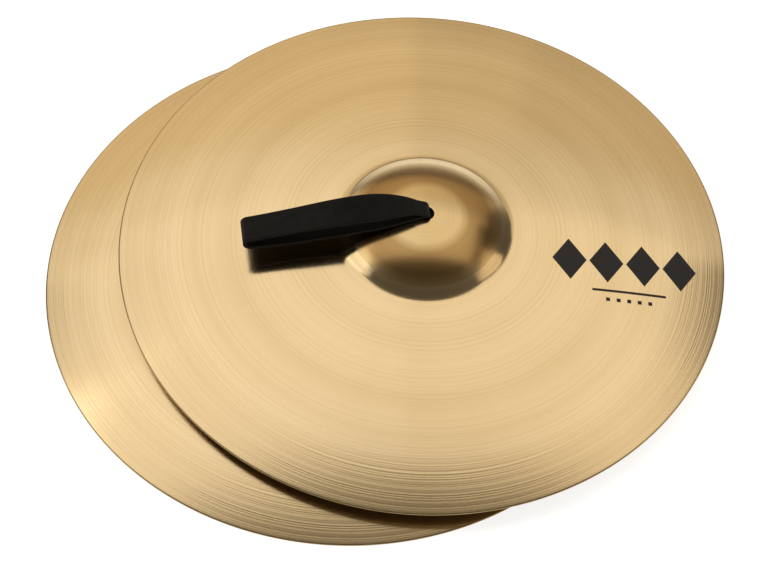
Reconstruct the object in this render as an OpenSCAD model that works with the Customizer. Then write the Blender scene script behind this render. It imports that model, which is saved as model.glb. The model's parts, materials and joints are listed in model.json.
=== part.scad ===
// A pair of hand cymbals, stored flat: two spun bronze discs, each with a leather hand strap.
// The rear cymbal stands on its rim. The front one lies over it, a little to the right and back.
// Each strap is one leather loop: a grip, a narrow neck through the hole, and a knot with four tails.
// The origin is on the floor, under the middle of the pair. +X is to the right and +Z is up.

/* [Cymbal] */
// Diameter over the edge
cymbal_d = 457.2; // [300:0.1:560]
// Thickness of the bronze
sheet_t = 1.2; // [0.8:0.1:2.4]
// Height from the rim to the crown of the bell
crown_h = 44.5; // [36:0.5:60]
// Height that the bow would reach at its middle if it had no bell
bow_rise = 27.2; // [18:0.1:34]
// Radius of the sphere that the bell is part of
bell_r = 124.6; // [90:0.1:160]
// Radius of the hollow bend between bell and bow
fillet_r = 14; // [8:1:24]
// Diameter of the strap hole
hole_d = 12; // [11:0.5:16]
// Width of the flat land under the edge
edge_land = 1.2; // [0.5:0.1:2]

/* [Stack] */
// How far the front cymbal is to the right of the rear one
stack_x = 55.5; // [45:0.1:70]
// How far the front cymbal is behind the rear one
stack_y = 14.8; // [5:0.1:25]
// Height of the front cymbal's rim plane at its centre
stack_z = 20.5; // [20:0.1:40]
// Lean of the front cymbal towards the back, about X
lean_x = 0.59; // [0:0.01:1]
// Lean of the front cymbal towards the right, about Y
lean_y = 1.27; // [0:0.01:1.5]

/* [Strap] */
// Thickness of the leather
leather_t = 2.7; // [2:0.1:2.8]
// Width of the grip
grip_w = 22; // [14:1:26]
// Width of the neck in the hole
neck_w = 10; // [6:0.5:10]
// Distance from the pivot to where the grip's fold starts
grip_reach = 131; // [120:1:134]
// Running gap between leather and bronze
gap = 0.3; // [0.3:0.05:0.6]

/* [Knot] */
// Width across the square knot
knot_w = 32; // [26:1:34]
// Height of the knot
knot_h = 11.5; // [8:0.5:12]
// Width of each tail
tail_w = 9; // [6:0.5:10]
// Distance from the axis to the end of each tail
tail_reach = 42; // [34:1:42]

/* [Hidden] */
$fn = 180;
curve_steps = 18;
tail_count = 4;

bronze = [0.80, 0.68, 0.42];
leather = [0.07, 0.07, 0.075];

// Cymbal section: the bow and the bell follow spheres, and the bend between them is a round hollow.
edge_r = cymbal_d / 2;
bow_in_r = (edge_r * edge_r + bow_rise * bow_rise) / (2 * bow_rise);
bow_r = bow_in_r + sheet_t;
land_cut = edge_land * edge_r / bow_in_r;
bow_z = bow_rise - bow_in_r - land_cut;
bell_z = crown_h - bell_r;
bell_reach = bell_r + fillet_r;
bow_reach = bow_r + fillet_r;
fillet_z = (pow(bow_reach, 2) - pow(bell_reach, 2) - pow(bow_z, 2) + pow(bell_z, 2))
    / (2 * (bell_z - bow_z));
fillet_x = sqrt(pow(bell_reach, 2) - pow(fillet_z - bell_z, 2));
bell_angle = asin(fillet_x / bell_reach);
bow_angle = asin(fillet_x / bow_reach);

// Strap: its pivot is a round root just above the crown.
pivot_z = crown_h + gap + leather_t;
front_heading = 187.3;
rear_heading = atan2(stack_y, stack_x);
// The rear grip's root sits a little towards the front cymbal, where there is more room.
rear_pivot_x = 1.5;
neck_t = 2 * leather_t;

// Knot: its top follows the inside of the bell.
under_bell_r = bell_r - sheet_t - gap;
knot_top = bell_z + under_bell_r;
tail_root_z = knot_top - 5;
tail_end_z = knot_top - 8.5;
tail_side = 2.5;

// Points on a cubic curve, and the same points moved sideways by a distance.
function cubic(p, t) = pow(1 - t, 3) * p[0] + 3 * pow(1 - t, 2) * t * p[1]
    + 3 * (1 - t) * t * t * p[2] + pow(t, 3) * p[3];
function heading(p, t) = 3 * pow(1 - t, 2) * (p[1] - p[0]) + 6 * (1 - t) * t * (p[2] - p[1])
    + 3 * t * t * (p[3] - p[2]);
function left_of(v) = [-v[1], v[0]] / norm(v);
function beside(p, distance) = [for (i = [0:curve_steps]) let (t = i / curve_steps)
    cubic(p, t) + distance * left_of(heading(p, t))];
function arc(centre, r, from, to) = [for (i = [1:curve_steps - 1])
    let (a = from + (to - from) * i / curve_steps) centre + r * [cos(a), sin(a)]];

// Section points: on a sphere about the axis, and along the hollow bend between bell and bow.
function cap_points(centre_z, r, from, to) = [for (i = [0:curve_steps])
    let (a = from + (to - from) * i / curve_steps) [r * sin(a), centre_z + r * cos(a)]];
function bend_points(r) = [for (i = [1:curve_steps - 1])
    let (a = bell_angle + (bow_angle - bell_angle) * i / curve_steps)
    [fillet_x - r * sin(a), fillet_z - r * cos(a)]];
function reversed(list) = [for (i = [len(list) - 1:-1:0]) list[i]];

module cymbal() {
    hole_r = hole_d / 2;
    bell_in_r = bell_r - sheet_t;
    top = concat(cap_points(bell_z, bell_r, asin(hole_r / bell_r), bell_angle),
                 bend_points(fillet_r),
                 cap_points(bow_z, bow_r, bow_angle, asin(edge_r / bow_r)));
    bottom = concat(cap_points(bell_z, bell_in_r, asin(hole_r / bell_in_r), bell_angle),
                    bend_points(fillet_r + sheet_t),
                    cap_points(bow_z, bow_in_r, bow_angle, acos(-bow_z / bow_in_r)));
    color(bronze) rotate_extrude($fn = 360) polygon(concat(top, [[edge_r, 0]], reversed(bottom)));
}

// Side view of a grip: two legs and the fold that joins them. Each leg is a cubic curve.
module grip_side(root_x, lower, upper) {
    half = leather_t / 2;
    fold = (lower[3] + upper[0]) / 2;
    fold_r = norm(upper[0] - lower[3]) / 2;
    turn = atan2(lower[3][1] - fold[1], lower[3][0] - fold[0]);
    difference() {
        polygon(concat(beside(lower, -half), arc(fold, fold_r + half, turn, turn + 180), beside(upper, -half)));
        polygon(concat(beside(lower, half), arc(fold, fold_r - half, turn, turn + 180), beside(upper, half)));
    }
    translate([root_x, pivot_z]) circle(r = leather_t, $fn = 48);
}

// Plan view of a grip: it widens from the neck to the full width.
module grip_plan(root_x) {
    widths = [for (i = [0:curve_steps]) let (t = i / curve_steps)
        [root_x + t * 46, neck_w / 2 + (grip_w - neck_w) / 2 * t * (2 - t)]];
    far = grip_reach + 20;
    back = root_x - 2 * leather_t;
    near_side = concat([[back, neck_w / 2]], widths, [[far, grip_w / 2]]);
    polygon(concat(near_side, reversed([for (p = near_side) [p[0], -p[1]]])));
}

module grip(root_x, lower, upper) {
    color(leather) intersection() {
        rotate([90, 0, 0]) linear_extrude(grip_w + 2, center = true) grip_side(root_x, lower, upper);
        linear_extrude(2 * crown_h) grip_plan(root_x);
    }
}

// The two legs pressed together in the hole, down to the underside of the knot.
module neck() {
    color(leather) translate([-neck_t / 2, -neck_w / 2, knot_top - knot_h])
        cube([neck_t, neck_w, crown_h - knot_top + knot_h]);
}

// A square knot with a domed top, woven round the neck.
module knot() {
    corner = 5;
    color(leather) difference() {
        intersection() {
            translate([0, 0, bell_z]) sphere(r = under_bell_r, $fn = 360);
            translate([0, 0, knot_top - knot_h]) linear_extrude(knot_h + 1) square_with_round_corners(knot_w, corner);
        }
        translate([-neck_t / 2, -neck_w / 2, 0]) cube([neck_t, neck_w, crown_h]);
    }
}

module square_with_round_corners(width, corner) {
    square([width, width - 2 * corner], center = true);
    square([width - 2 * corner, width], center = true);
    for (x = [-1, 1], y = [-1, 1])
        translate([x, y] * (width / 2 - corner)) circle(r = corner, $fn = 48);
}

// Four flat tails, one from each side of the knot, like a pinwheel.
module tails() {
    color(leather) for (i = [0:tail_count - 1])
        rotate([0, 0, i * 360 / tail_count]) translate([0, tail_side, 0])
            rotate([90, 0, 0]) translate([0, 0, -tail_w]) linear_extrude(tail_w)
                polygon([[knot_w / 2, tail_root_z], [tail_reach, tail_end_z],
                         [tail_reach, tail_end_z - leather_t], [knot_w / 2, tail_root_z - leather_t]]);
}

// Places a cymbal's own frame, which has its origin on the axis at the rim, in the pair.
module at_rear() {
    translate([-stack_x, -stack_y, 0] / 2) children();
}

module at_front() {
    translate([stack_x / 2, stack_y / 2, stack_z]) rotate([lean_x, lean_y, 0]) children();
}

module rear_cymbal() at_rear() cymbal();

module rear_strap_neck() at_rear() rotate([0, 0, rear_heading]) neck();

// The rear grip lies pressed flat under the front cymbal.
module rear_strap_grip() {
    half = leather_t / 2;
    at_rear() rotate([0, 0, rear_heading]) grip(rear_pivot_x,
        [[rear_pivot_x, pivot_z - half], [36, pivot_z - half], [66, 28.5], [grip_reach, 22]],
        [[grip_reach, 27.8], [95, 45.5], [38, 51.2], [rear_pivot_x, pivot_z + half]]);
}

module rear_strap_knot() at_rear() rotate([0, 0, rear_heading]) knot();

module rear_strap_tails() at_rear() rotate([0, 0, rear_heading]) tails();

module front_cymbal() at_front() cymbal();

module front_strap_neck() at_front() rotate([0, 0, front_heading]) neck();

// The front grip stands open in a shallow arch, and its fold hangs clear of the bow.
module front_strap_grip() {
    half = leather_t / 2;
    at_front() rotate([0, 0, front_heading]) grip(0,
        [[0, pivot_z - half], [40, pivot_z - half], [80, 32.5], [grip_reach, 32.5]],
        [[grip_reach, 41.5], [95, 47], [28, 67], [0, pivot_z + half]]);
}

module front_strap_knot() at_front() rotate([0, 0, front_heading]) knot();

module front_strap_tails() at_front() rotate([0, 0, front_heading]) tails();

rear_cymbal();
rear_strap_neck();
rear_strap_grip();
rear_strap_knot();
rear_strap_tails();
front_cymbal();
front_strap_neck();
front_strap_grip();
front_strap_knot();
front_strap_tails();
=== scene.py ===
"""A pair of hand cymbals: spun bronze with lathe grooves, and black leather hand straps.

Lengths are in metres, and in millimetres where a value is multiplied by MM. The sizes repeat the
driving sizes of the CAD part, and the joints of the frame say where each piece goes.
"""

import json
import math

import bpy
import numpy as np
from mathutils import Matrix, Vector


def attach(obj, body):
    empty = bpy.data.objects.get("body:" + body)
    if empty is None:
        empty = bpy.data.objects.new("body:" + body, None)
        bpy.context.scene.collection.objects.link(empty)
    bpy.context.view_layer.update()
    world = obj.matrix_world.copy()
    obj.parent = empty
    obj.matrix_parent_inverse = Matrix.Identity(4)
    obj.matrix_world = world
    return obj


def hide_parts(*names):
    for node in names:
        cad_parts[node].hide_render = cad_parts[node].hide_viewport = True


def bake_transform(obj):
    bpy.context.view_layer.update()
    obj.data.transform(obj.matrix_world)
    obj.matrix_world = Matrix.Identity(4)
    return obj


MM = 0.001

# ---------------------------------------------------------------- sizes
EDGE_R = 228.6 * MM
SHEET = 1.2 * MM
CROWN = 44.5 * MM
BOW_RISE = 27.2 * MM
BELL_R = 124.6 * MM
FILLET_R = 14 * MM
HOLE_R = 6 * MM
LAND = 1.2 * MM
LEATHER = 2.7 * MM
GAP = 0.3 * MM
GRIP_W = 22 * MM
NECK_W = 9 * MM

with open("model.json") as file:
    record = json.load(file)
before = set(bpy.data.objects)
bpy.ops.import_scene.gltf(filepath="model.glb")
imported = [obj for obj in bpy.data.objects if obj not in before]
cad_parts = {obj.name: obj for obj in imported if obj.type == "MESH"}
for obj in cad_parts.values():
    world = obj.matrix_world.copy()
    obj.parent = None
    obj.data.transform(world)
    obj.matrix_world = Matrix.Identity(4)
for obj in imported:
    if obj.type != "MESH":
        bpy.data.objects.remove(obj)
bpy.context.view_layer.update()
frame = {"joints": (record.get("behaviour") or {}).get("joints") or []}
joints = {j["name"]: j for j in frame["joints"]}


# ---------------------------------------------------------------- frames of the two cymbals
def axis_frame(pivot, up, out):
    """Matrix with its origin on the axis at the rim plane, +Z along up and +X along out."""
    z = Vector(up).normalized()
    x = (Vector(out) - z * z.dot(Vector(out))).normalized()
    y = z.cross(x)
    rotation = Matrix((x, y, z)).transposed().to_4x4()
    return Matrix.Translation(Vector(pivot) - z * CROWN) @ rotation


def strap_frame(side):
    """Frame of one cymbal, with +X along its strap, from its swivel and tilt joints."""
    swivel = joints[side + "_strap_swivel"]
    tilt_axis = Vector(joints[side + "_strap_tilt"]["axis"])
    return axis_frame(swivel["pos_m"], swivel["axis"], Vector(swivel["axis"]).cross(tilt_axis))


def disc_frame(side):
    """Frame of one cymbal with no turn about its own axis."""
    swivel = joints[side + "_strap_swivel"]
    return axis_frame(swivel["pos_m"], swivel["axis"], (1, 0, 0))


FRAMES = {side: strap_frame(side) for side in ("front", "rear")}


# ---------------------------------------------------------------- materials
def new_material(name):
    material = bpy.data.materials.new(name)
    material.use_nodes = True
    return material, material.node_tree, material.node_tree.nodes["Principled BSDF"]


def link(tree, a, out, b, socket):
    tree.links.new(a.outputs[out], b.inputs[socket])


def node(tree, kind, **values):
    made = tree.nodes.new(kind)
    for key, value in values.items():
        if isinstance(value, (int, float, tuple)) and key in made.inputs:
            made.inputs[key].default_value = value
        else:
            setattr(made, key, value)
    return made


def math_node(tree, operation, a, b=None):
    made = tree.nodes.new("ShaderNodeMath")
    made.operation = operation
    for i, value in enumerate((a, b)):
        if value is None:
            continue
        if isinstance(value, (int, float)):
            made.inputs[i].default_value = value
        else:
            tree.links.new(value, made.inputs[i])
    return made.outputs[0]


def ramp(tree, fac, stops):
    made = tree.nodes.new("ShaderNodeValToRGB")
    elements = made.color_ramp.elements
    while len(elements) < len(stops):
        elements.new(0.5)
    for element, (place, color) in zip(elements, stops):
        element.position = place
        element.color = (*color, 1)
    tree.links.new(fac, made.inputs[0])
    return made.outputs[0]


def radius_of(tree):
    """Distance from the cymbal's axis in millimetres, and the coordinates it comes from."""
    coords = tree.nodes.new("ShaderNodeTexCoord")
    split = tree.nodes.new("ShaderNodeSeparateXYZ")
    tree.links.new(coords.outputs["Object"], split.inputs[0])
    xx = math_node(tree, "MULTIPLY", split.outputs[0], split.outputs[0])
    yy = math_node(tree, "MULTIPLY", split.outputs[1], split.outputs[1])
    radius = math_node(tree, "SQRT", math_node(tree, "ADD", xx, yy))
    return math_node(tree, "MULTIPLY", radius, 1 / MM), coords


def ring_noise(tree, radius, scale, detail=3.0, offset=0.0):
    """Noise that only changes with the radius, so it draws rings."""
    join = tree.nodes.new("ShaderNodeCombineXYZ")
    tree.links.new(radius, join.inputs[0])
    join.inputs[1].default_value = offset
    noise = tree.nodes.new("ShaderNodeTexNoise")
    noise.inputs["Scale"].default_value = scale
    noise.inputs["Detail"].default_value = detail
    tree.links.new(join.outputs[0], noise.inputs["Vector"])
    return noise.outputs["Fac"]


def bronze(name, base, dark, roughness, anisotropy, groove, ring_scale, shade=None):
    """Lathed bronze. Fine rings change its colour and height; the glints lie across the rings.

    The last argument is a list of (radius in millimetres, tint) that darkens and browns the metal by
    radius: painted shade standing in for dark reflections.
    """
    material, tree, shader = new_material(name)
    radius, coords = radius_of(tree)
    rings = ring_noise(tree, radius, ring_scale, 6.0)
    broad = ring_noise(tree, radius, 0.045, 2.0, 7.0)
    cloud = node(tree, "ShaderNodeTexNoise", Scale=9.0, Detail=4.0)
    link(tree, coords, "Object", cloud, "Vector")
    mixed = math_node(tree, "ADD", math_node(tree, "MULTIPLY", rings, 0.45),
                      math_node(tree, "ADD", math_node(tree, "MULTIPLY", broad, 0.35),
                                math_node(tree, "MULTIPLY", cloud.outputs["Fac"], 0.2)))
    color = ramp(tree, mixed, [(0.3, dark), (0.62, base)])
    # Painted shade: the tint by radius darkens the colour where the bell shows dark reflections.
    if shade:
        tint = ramp(tree, math_node(tree, "MULTIPLY", radius, 0.01), [(r / 100, c) for r, c in shade])
        mix = tree.nodes.new("ShaderNodeMix")
        mix.data_type = "RGBA"
        mix.blend_type = "MULTIPLY"
        mix.inputs["Factor"].default_value = 1.0
        tree.links.new(color, mix.inputs[6])
        tree.links.new(tint, mix.inputs[7])
        color = mix.outputs[2]
    tree.links.new(color, shader.inputs["Base Color"])
    shader.inputs["Metallic"].default_value = 1.0
    rough = math_node(tree, "ADD", math_node(tree, "MULTIPLY", rings, 0.08), roughness - 0.04)
    tree.links.new(rough, shader.inputs["Roughness"])
    shader.inputs["Anisotropic"].default_value = anisotropy
    shader.inputs["Anisotropic Rotation"].default_value = 0.25
    tangent = tree.nodes.new("ShaderNodeTangent")
    tangent.direction_type = "RADIAL"
    tangent.axis = "Z"
    tree.links.new(tangent.outputs[0], shader.inputs["Tangent"])
    bump = tree.nodes.new("ShaderNodeBump")
    bump.inputs["Strength"].default_value = groove
    bump.inputs["Distance"].default_value = 0.00004
    tree.links.new(rings, bump.inputs["Height"])
    tree.links.new(bump.outputs[0], shader.inputs["Normal"])
    return material


def leather(name, color, worn):
    """Smooth strap leather: fine pores, soft creases, and a paler, worn tone in patches."""
    material, tree, shader = new_material(name)
    coords = tree.nodes.new("ShaderNodeTexCoord")
    pores = tree.nodes.new("ShaderNodeTexVoronoi")
    pores.inputs["Scale"].default_value = 900
    link(tree, coords, "Object", pores, "Vector")
    crease = node(tree, "ShaderNodeTexNoise", Scale=160.0, Detail=6.0)
    link(tree, coords, "Object", crease, "Vector")
    cloud = node(tree, "ShaderNodeTexNoise", Scale=35.0, Detail=3.0)
    link(tree, coords, "Object", cloud, "Vector")
    tone = ramp(tree, cloud.outputs["Fac"], [(0.35, color), (0.7, worn)])
    tree.links.new(tone, shader.inputs["Base Color"])
    tree.links.new(ramp(tree, crease.outputs["Fac"], [(0.3, (0.50,) * 3), (0.75, (0.68,) * 3)]),
                   shader.inputs["Roughness"])
    height = math_node(tree, "ADD", math_node(tree, "MULTIPLY", pores.outputs["Distance"], 0.6),
                       math_node(tree, "MULTIPLY", crease.outputs["Fac"], 0.8))
    bump = tree.nodes.new("ShaderNodeBump")
    bump.inputs["Strength"].default_value = 0.35
    bump.inputs["Distance"].default_value = 0.00025
    tree.links.new(height, bump.inputs["Height"])
    tree.links.new(bump.outputs[0], shader.inputs["Normal"])
    shader.inputs["Specular IOR Level"].default_value = 0.16
    return material


def plain(name, color, roughness):
    """A matt surface with a faint mottle."""
    material, tree, shader = new_material(name)
    coords = tree.nodes.new("ShaderNodeTexCoord")
    mottle = node(tree, "ShaderNodeTexNoise", Scale=60.0, Detail=3.0)
    link(tree, coords, "Object", mottle, "Vector")
    low = tuple(c * 0.9 for c in color)
    tone = ramp(tree, mottle.outputs["Fac"], [(0.35, low), (0.65, color)])
    tree.links.new(tone, shader.inputs["Base Color"])
    shader.inputs["Roughness"].default_value = roughness
    return material


# Painted shade: the bell's sloping wall is darker and browner than its cap and its foot, standing in for
# the dark reflections it shows.
BELL_WALL_PAINTED_SHADE = [(0, (1, 1, 1)), (25, (1, 1, 1)), (33, (0.62, 0.53, 0.42)), (49, (0.55, 0.46, 0.36)),
              (57, (1, 1, 1))]
BOW_BRONZE = bronze("bow_bronze", (0.86, 0.67, 0.40), (0.68, 0.50, 0.26), 0.155, 0.82, 0.5, 0.55)
# Painted shade: the underside is a darker copy of the bow's bronze, standing in for the shadow it lies in.
SHADED_UNDER_BRONZE = bronze("under_bronze_painted_shade", (0.42, 0.30, 0.15), (0.30, 0.21, 0.10), 0.30, 0.6, 0.5, 0.8)
BELL_BRONZE = bronze("bell_bronze", (0.78, 0.58, 0.30), (0.64, 0.46, 0.22), 0.20, 0.25, 0.3, 1.2,
                     BELL_WALL_PAINTED_SHADE)
# Painted shade: the rounded edge is a darker copy of the bow's bronze, standing in for the shading it
# shows.
SHADED_EDGE_BRONZE = bronze("edge_bronze_painted_shade", (0.50, 0.36, 0.17), (0.36, 0.25, 0.11), 0.30, 0.2, 0.2, 2.0)
BLACK_LEATHER = leather("black_leather", (0.0035, 0.0032, 0.0026), (0.0075, 0.0068, 0.0056))
PRINT_INK = plain("print_ink", (0.012, 0.010, 0.008), 0.6)


# ---------------------------------------------------------------- mesh helpers
def mesh_object(name, points, faces, materials):
    mesh = bpy.data.meshes.new(name)
    mesh.from_pydata([tuple(p) for p in points], [], faces)
    mesh.validate()
    mesh.update()
    for material in materials:
        mesh.materials.append(material)
    mesh.shade_smooth()
    made = bpy.data.objects.new(name, mesh)
    bpy.context.scene.collection.objects.link(made)
    return made


# ---------------------------------------------------------------- cymbals
BOW_IN_R = (EDGE_R ** 2 + BOW_RISE ** 2) / (2 * BOW_RISE)
BOW_R = BOW_IN_R + SHEET
BOW_Z = BOW_RISE - BOW_IN_R - LAND * EDGE_R / BOW_IN_R
BELL_Z = CROWN - BELL_R
BELL_REACH = BELL_R + FILLET_R
BOW_REACH = BOW_R + FILLET_R
FILLET_Z = (BOW_REACH ** 2 - BELL_REACH ** 2 - BOW_Z ** 2 + BELL_Z ** 2) / (2 * (BELL_Z - BOW_Z))
FILLET_X = math.sqrt(BELL_REACH ** 2 - (FILLET_Z - BELL_Z) ** 2)
ANGULAR_STEPS = 288
BELL_METAL_R = 56 * MM


def surface(r, offset=0.0):
    """Height of the cymbal's top at radius r, or of the same surface moved down by offset."""
    r = np.asarray(r, float)
    bell = BELL_Z + np.sqrt(np.maximum((BELL_R - offset) ** 2 - r ** 2, 0))
    bow = BOW_Z + np.sqrt(np.maximum((BOW_R - offset) ** 2 - r ** 2, 0))
    bend_r = FILLET_R + offset
    bend = FILLET_Z - np.sqrt(np.maximum(bend_r ** 2 - (r - FILLET_X) ** 2, 0))
    bell_end = FILLET_X - bend_r * FILLET_X / BELL_REACH
    bow_start = FILLET_X - bend_r * FILLET_X / BOW_REACH
    return np.where(r < bell_end, bell, np.where(r > bow_start, bow, bend))


def grooves(r):
    """Depth of the tool marks: deep ones near the edge and round the middle, fine ones elsewhere."""
    mm = r / MM
    near_edge = np.clip((mm - 186) / 10, 0, 1) * np.clip((226 - mm) / 4, 0, 1)
    middle = np.clip((mm - 108) / 8, 0, 1) * np.clip((138 - mm) / 8, 0, 1)
    fine = np.clip((mm - 68) / 6, 0, 1)
    uneven = 0.4 + 0.6 * np.abs(np.sin(mm * 0.37) * np.sin(mm * 0.83 + 1))
    return MM * (0.032 * near_edge * uneven * np.abs(np.sin(math.pi * (mm / 2.1 + 0.3 * np.sin(mm * 0.9))))
                 + 0.034 * middle * uneven * np.abs(np.sin(math.pi * (mm / 2.2 + 0.3 * np.sin(mm * 0.8))))
                 + 0.010 * fine * np.abs(np.sin(mm * math.pi / 1.9)))


def cymbal_mesh(side):
    """One spun disc: top with tool marks, rounded edge, and underside, as a closed mesh."""
    bell_rs = np.linspace(HOLE_R + 0.3 * MM, 66 * MM, 46)
    bow_rs = np.arange(66.4, 228.0, 0.42) * MM
    top_rs = np.concatenate([[HOLE_R], bell_rs, bow_rs])
    tops = surface(top_rs) - grooves(top_rs)
    tops[0] -= 0.2 * MM
    edge_rs = np.array([228.35, 228.57, 228.57, 228.35]) * MM
    edge_top = float(surface(EDGE_R))
    edge_zs = np.array([edge_top - 0.02 * MM, edge_top - 0.22 * MM, 0.2 * MM, 0.02 * MM])
    under_rs = np.concatenate([np.linspace(EDGE_R - LAND * 0.9, 70 * MM, 64),
                               np.linspace(69 * MM, HOLE_R + 0.3 * MM, 40), [HOLE_R]])
    unders = np.maximum(surface(under_rs, SHEET), 0.0)
    unders[-1] += 0.2 * MM
    rs = np.concatenate([top_rs, edge_rs, under_rs])
    zs = np.concatenate([tops, edge_zs, unders])
    turn = np.linspace(0, 2 * math.pi, ANGULAR_STEPS, endpoint=False)
    points = np.stack([np.outer(rs, np.cos(turn)), np.outer(rs, np.sin(turn)),
                       np.repeat(zs[:, None], ANGULAR_STEPS, 1)], -1).reshape(-1, 3)
    rings = len(rs)
    ring = np.arange(rings)[:, None]
    step = np.arange(ANGULAR_STEPS)[None, :]
    following = (step + 1) % ANGULAR_STEPS
    onward = (ring + 1) % rings
    this_row, next_row = ring * ANGULAR_STEPS, onward * ANGULAR_STEPS
    faces = np.stack([this_row + step, next_row + step, next_row + following, this_row + following], -1)
    faces = faces.reshape(-1, 4)
    made = mesh_object(side + "_cymbal_bronze", points, faces.tolist(),
                       [BOW_BRONZE, BELL_BRONZE, SHADED_EDGE_BRONZE, SHADED_UNDER_BRONZE])
    first_edge = len(top_rs) - 1
    kinds = np.zeros(rings, int)
    kinds[rs < BELL_METAL_R] = 1
    kinds[first_edge:] = 3
    kinds[first_edge:first_edge + len(edge_rs) + 1] = 2
    made.data.polygons.foreach_set("material_index", np.repeat(kinds, ANGULAR_STEPS))
    made.matrix_world = disc_frame(side)
    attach(made, side + "_cymbal")
    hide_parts(side + "_cymbal")
    return made


# ---------------------------------------------------------------- leather straps
def cubic(p, t):
    p = np.array(p, float)
    return (1 - t) ** 3 * p[0] + 3 * (1 - t) ** 2 * t * p[1] + 3 * (1 - t) * t * t * p[2] + t ** 3 * p[3]


def smooth_path(corners, rounds, spacing):
    """The path through the corners with its corners cut in each round, as evenly spaced points."""
    corners = np.array(corners, float)
    for _ in range(rounds):
        ends = corners[0], corners[-1]
        cut = np.empty((2 * len(corners) - 2, corners.shape[1]))
        cut[0::2] = 0.75 * corners[:-1] + 0.25 * corners[1:]
        cut[1::2] = 0.25 * corners[:-1] + 0.75 * corners[1:]
        corners = np.vstack([ends[0], cut, ends[1]])
    lengths = np.concatenate([[0], np.cumsum(np.linalg.norm(np.diff(corners[:, :3], axis=0), axis=1))])
    places = np.linspace(0, lengths[-1], max(8, int(lengths[-1] / spacing)))
    return np.stack([np.interp(places, lengths, corners[:, i]) for i in range(corners.shape[1])], 1)


def band_section(width, thickness):
    """A leather strip's section: flat faces, rounded corners. Points are (across, through)."""
    corner = thickness * 0.38
    flat = np.linspace(-width / 2 + corner, width / 2 - corner, 9)
    turn = np.linspace(0, math.pi / 2, 5)
    points = [(x, -thickness / 2) for x in flat]
    for centre_x, centre_y, start in ((1, -1, -90), (1, 1, 0), (-1, 1, 90), (-1, -1, 180)):
        cx = centre_x * (width / 2 - corner)
        cy = centre_y * (thickness / 2 - corner)
        angles = math.radians(start) + turn
        arc = [(cx + corner * math.cos(a), cy + corner * math.sin(a)) for a in angles]
        if start == 90:
            points += [(x, thickness / 2) for x in flat[::-1][1:-1]]
        points += arc[1:-1] if start in (-90, 180) else arc
    return np.array(points)


def band(path, widths, thickness, roll=None):
    """Sweeps a strip of leather along path, with its width along Y. Returns points and faces."""
    side_dir = np.array((0.0, 1.0, 0.0))
    path = np.asarray(path, float)
    tangents = np.gradient(path, axis=0)
    tangents /= np.linalg.norm(tangents, axis=1)[:, None]
    points, faces = [], []
    size = None
    for i, (place, along) in enumerate(zip(path, tangents)):
        across = side_dir - along * np.dot(side_dir, along)
        across /= np.linalg.norm(across)
        through = np.cross(along, across)
        if roll is not None:
            c, s = math.cos(roll[i]), math.sin(roll[i])
            across, through = across * c + through * s, through * c - across * s
        section = band_section(widths[i], thickness)
        size = len(section)
        points += [place + across * a + through * b for a, b in section]
    for i in range(len(path) - 1):
        for j in range(size):
            k = (j + 1) % size
            faces.append((i * size + j, i * size + k, (i + 1) * size + k, (i + 1) * size + j))
    faces.append(tuple(range(size))[::-1])
    faces.append(tuple((len(path) - 1) * size + j for j in range(size)))
    return points, faces


# In a strap's own frame, in millimetres: its pivot's height, half the leather, and how far
# each of the two legs in the hole stands from the root.
PIVOT = (CROWN + GAP + LEATHER) / MM
HALF = LEATHER / MM / 2
LEG = HALF + 0.01
GRIPS = {
    "front": {"root": 0.0, "lift": 6.0,
              "lower": [(0, PIVOT - HALF), (40, PIVOT - HALF), (80, 32.5), (131, 32.5)],
              "upper": [(131, 41.5), (95, 47), (28, 67), (0, PIVOT + HALF)]},
    "rear": {"root": 1.5, "lift": 1.0,
             "lower": [(1.5, PIVOT - HALF), (36, PIVOT - HALF), (66, 28.5), (131, 22)],
             "upper": [(131, 27.8), (95, 45.5), (38, 51.2), (1.5, PIVOT + HALF)]},
}


def grip_width(x):
    """Width of the strap at a distance from the pivot, in millimetres."""
    t = np.clip(x / 46, 0, 1)
    return NECK_W / MM + (GRIP_W - NECK_W) / MM * t * (2 - t)


def strap_path(side):
    """Centreline of one strap in its own frame, from the knot up, round the grip, and down again."""
    grip = GRIPS[side]
    root = grip["root"]
    start = root + LEG
    low = 33.5  # inside the knot
    ts = np.linspace(0.10, 1, 26)
    lower = [cubic(grip["lower"], t) for t in ts]
    centre = (np.array(grip["lower"][3]) + np.array(grip["upper"][0])) / 2
    half = np.linalg.norm(np.array(grip["upper"][0]) - np.array(grip["lower"][3])) / 2
    turn = np.linspace(-math.pi / 2, math.pi / 2, 12)[1:-1]
    fold = [centre + half * np.array([math.cos(a), math.sin(a)]) for a in turn]
    upper = [cubic(grip["upper"], t) for t in ts - 0.10]
    up = [(start, low), (start, 38), (start, 42), (start + 0.1, 44.6), (start + 1.4, 46.0)]
    down = [(root + 3.6, 50.3), (root + 0.4, 49.2), (root - 1.2, 47.0), (root - LEG, 44.5),
            (root - LEG, 42), (root - LEG, 38), (root - LEG, low)]
    flat = np.array(up + lower + fold + upper + down) * MM
    return smooth_path(flat, 1, 1.1 * MM)


def strap_mesh(side):
    grip = GRIPS[side]
    path2 = strap_path(side)
    path = np.stack([path2[:, 0], np.zeros(len(path2)), path2[:, 1]], 1)
    # Over the crown the leather swells where it bends out of the hole.
    swell = np.clip((path2[:, 1] / MM - 45.3) / 1.5, 0, 1) * 13
    widths = np.maximum(grip_width(path2[:, 0] / MM), swell) * MM
    # The upper leg is a little rolled round its own length near the hump.
    x = path2[:, 0] / MM
    furthest = int(np.argmax(path2[:, 0]))
    is_upper = np.arange(len(x)) > furthest
    roll = np.where(is_upper, 1, 0) * math.radians(grip["lift"] * 2.6) * np.exp(-((x - 48) / 34) ** 2)
    points, faces = band(path, widths, LEATHER, roll)
    made = mesh_object(side + "_strap_leather", points, faces, [BLACK_LEATHER])
    made.data.transform(FRAMES[side])
    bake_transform(made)
    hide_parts(side + "_strap_grip", side + "_strap_neck")
    return made


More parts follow.
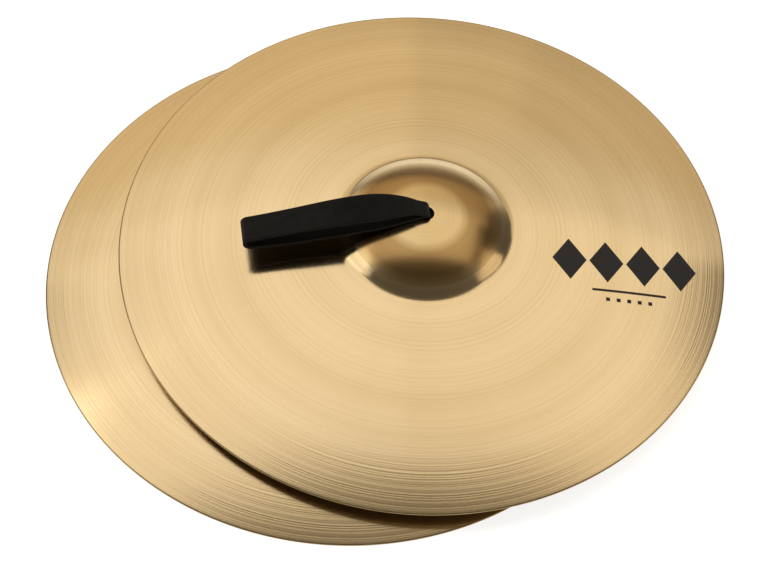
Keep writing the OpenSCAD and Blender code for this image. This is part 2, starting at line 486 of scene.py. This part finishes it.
def knot_mesh(side):
    """Four strips woven over and under into a square, each leaving one side as a tail."""
    points, faces = [], []
    top = float(surface(12 * MM, SHEET)) / MM - 2.4
    low = top - 6.4
    lane = 7.0
    for i in range(4):
        corners = [(2, lane * 0.2, top), (-6, lane * 0.6, top), (-13.2, lane, top - 0.4),
                   (-15.2, lane, top - 3.2), (-13.2, lane, low - 0.8), (-7, lane, low - 1.5),
                   (0, lane, low - 0.2), (7, lane, low + 1.5), (13, lane, low + 1.6),
                   (18, lane, low + 1.9), (26, lane, top - 5.0), (34, lane, top - 5.6),
                   (42, lane, top - 6.6)]
        path = smooth_path(np.array(corners) * MM, 2, 1.2 * MM)
        x = path[:, 0] / MM
        order = np.linspace(0, 1, len(path))
        widths = np.where(order < 0.5, 12.5, np.clip(12.5 - (x - 14) * 0.25, 8.6, 12.5)) * MM
        strip, quads = band(path, widths, 2.4 * MM)
        turn = np.array(Matrix.Rotation(i * math.pi / 2, 3, "Z"))
        start = len(points)
        points += [turn @ np.array(p) for p in strip]
        faces += [tuple(start + k for k in f) for f in quads]
    made = mesh_object(side + "_knot_leather", points, faces, [BLACK_LEATHER])
    made.data.transform(FRAMES[side])
    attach(made, side + "_strap_root")
    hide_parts(side + "_strap_knot", side + "_strap_tails")
    return made


INK_LIFT = 0.05 * MM
EMBLEM_AT = (150, -22)


def ink_patch(left, right):
    """A flat shape laid just over the bow's bronze: a grid between its left and right sides."""
    rows = 6
    points, faces = [], []
    for i in range(rows + 1):
        a = np.array(left[0]) + (np.array(left[1]) - left[0]) * i / rows
        b = np.array(right[0]) + (np.array(right[1]) - right[0]) * i / rows
        for k in range(rows + 1):
            x, y = a + (b - a) * k / rows
            points.append((x * MM, y * MM, float(surface(math.hypot(x, y) * MM)) + INK_LIFT))
    for i in range(rows):
        for k in range(rows):
            n = i * (rows + 1) + k
            faces.append((n, n + rows + 1, n + rows + 2, n + 1))
    return points, faces


def emblem():
    """A plain printed ornament on the front bow: four lozenges with a thin rule and dots under them."""
    shapes = []
    x0, y0 = EMBLEM_AT
    for i in range(4):
        x = x0 - 42 + 28 * i
        shapes.append((((x - 13, y0), (x, y0 + 18)), ((x, y0 - 18), (x + 13, y0))))
    shapes.append((((x0 - 26, y0 - 26), (x0 - 26, y0 - 24)), ((x0 + 30, y0 - 26), (x0 + 30, y0 - 24))))
    for i in range(5):
        x = x0 - 16 + 8 * i
        shapes.append((((x, y0 - 34), (x, y0 - 31)), ((x + 3, y0 - 34), (x + 3, y0 - 31))))
    points, faces = [], []
    for shape in shapes:
        some, quads = ink_patch(*shape)
        faces += [tuple(len(points) + k for k in f) for f in quads]
        points += some
    made = mesh_object("front_printed_ornament", points, faces, [PRINT_INK])
    made.matrix_world = disc_frame("front")
    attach(made, "front_cymbal")
    return made


for side in ("rear", "front"):
    cymbal_mesh(side)
    strap_mesh(side)
    knot_mesh(side)
emblem()


# ---------------------------------------------------------------- floor, light and camera
def pale_floor():
    material, _, shader = new_material("pale_floor")
    shader.inputs["Base Color"].default_value = (0.93, 0.93, 0.93, 1)
    shader.inputs["Roughness"].default_value = 0.95
    shader.inputs["Specular IOR Level"].default_value = 0.1
    shader.inputs["Emission Color"].default_value = (0.96, 0.98, 1, 1)
    shader.inputs["Emission Strength"].default_value = 0.72
    return material


def stage_floor():
    reach = 6.0
    corners = [(-reach, -reach, 0), (reach, -reach, 0), (reach, reach, 0), (-reach, reach, 0)]
    floor = mesh_object("floor", corners, [(0, 1, 2, 3)], [pale_floor()])
    floor.location.z = -0.0002


def softbox(name, azimuth, elevation, distance, width, height, power, color, shift=0.0):
    """An area light that faces the pair, moved sideways by shift.

    Azimuth 0 is behind the pair, at +Y, and 90 is at +X.
    """
    light = bpy.data.lights.new(name, "AREA")
    light.shape = "RECTANGLE"
    light.size, light.size_y = width, height
    light.energy = power
    light.color = color
    made = bpy.data.objects.new(name, light)
    a, e = math.radians(azimuth), math.radians(elevation)
    way = Vector((math.sin(a) * math.cos(e), math.cos(a) * math.cos(e), math.sin(e)))
    made.location = way * distance + Vector((math.cos(a), -math.sin(a), 0)) * shift
    made.rotation_euler = (-way).to_track_quat("-Z", "Y").to_euler()
    bpy.context.scene.collection.objects.link(made)
    return made


def studio():
    soft_white, cream, tan = (1.0, 0.96, 0.90), (1.0, 0.94, 0.84), (1.0, 0.85, 0.62)
    softbox("high_left", 0, 70, 2.4, 1.9, 1.75, 10.4, soft_white, -0.85)
    softbox("high_right", 0, 70, 2.4, 1.7, 1.75, 8.8, cream, 0.95)
    softbox("mid_left", 0, 46, 2.5, 2.1, 0.35, 2.0, cream, -0.9)
    softbox("mid_right", 0, 46, 2.5, 1.9, 0.35, 1.5, cream, 1.1)
    softbox("low_left", 0, 30, 2.6, 2.1, 1.1, 5.3, tan, -0.9)
    softbox("low_right", 0, 30, 2.6, 0.5, 1.1, 1.1, tan, 0.4)
    softbox("low_far_right", 0, 30, 2.6, 1.4, 1.1, 2.8, tan, 1.35)
    softbox("front_fill", 180, 22, 3.2, 3.4, 1.5, 12.0, soft_white)
    softbox("front_left_fill", -130, 25, 3.2, 2.2, 1.7, 9.0, soft_white)
    softbox("front_right_fill", 130, 25, 3.2, 2.2, 1.7, 9.0, soft_white)
    softbox("left_panel", -84, 40, 2.8, 1.3, 1.7, 7.5, soft_white)
    softbox("right_panel", 88, 34, 2.8, 1.2, 1.4, 4.2, tan)
    world = bpy.data.worlds.new("studio")
    world.use_nodes = True
    background = world.node_tree.nodes["Background"]
    # The room is pale low down, behind the floor, and a dim warm brown above.
    coords = world.node_tree.nodes.new("ShaderNodeTexCoord")
    split = world.node_tree.nodes.new("ShaderNodeSeparateXYZ")
    world.node_tree.links.new(coords.outputs["Generated"], split.inputs[0])
    sky = ramp(world.node_tree, split.outputs[2],
               [(0.0, (0.86, 0.86, 0.85)), (0.09, (0.80, 0.79, 0.77)), (0.22, (0.085, 0.074, 0.060))])
    world.node_tree.links.new(sky, background.inputs[0])
    background.inputs[1].default_value = 1.0
    bpy.context.scene.world = world


def camera():
    """The studio camera: a long lens that looks down at about 55 degrees."""
    data = bpy.data.cameras.new("camera")
    data.sensor_width = 36
    data.lens = 103.94
    data.clip_end = 50
    made = bpy.data.objects.new("camera", data)
    right = Vector((0.9998, 0.0, 0.0207)).normalized()
    back = Vector((-0.0170, -0.5717, 0.8203)).normalized()
    up = back.cross(right).normalized()
    back = right.cross(up)
    made.matrix_world = (Matrix.Translation((-0.0316, -0.9640, 1.3695))
                         @ Matrix((right, up, back)).transposed().to_4x4())
    bpy.context.scene.collection.objects.link(made)
    bpy.context.scene.camera = made


stage_floor()
studio()
camera()
bpy.context.scene.view_settings.view_transform = "Standard"
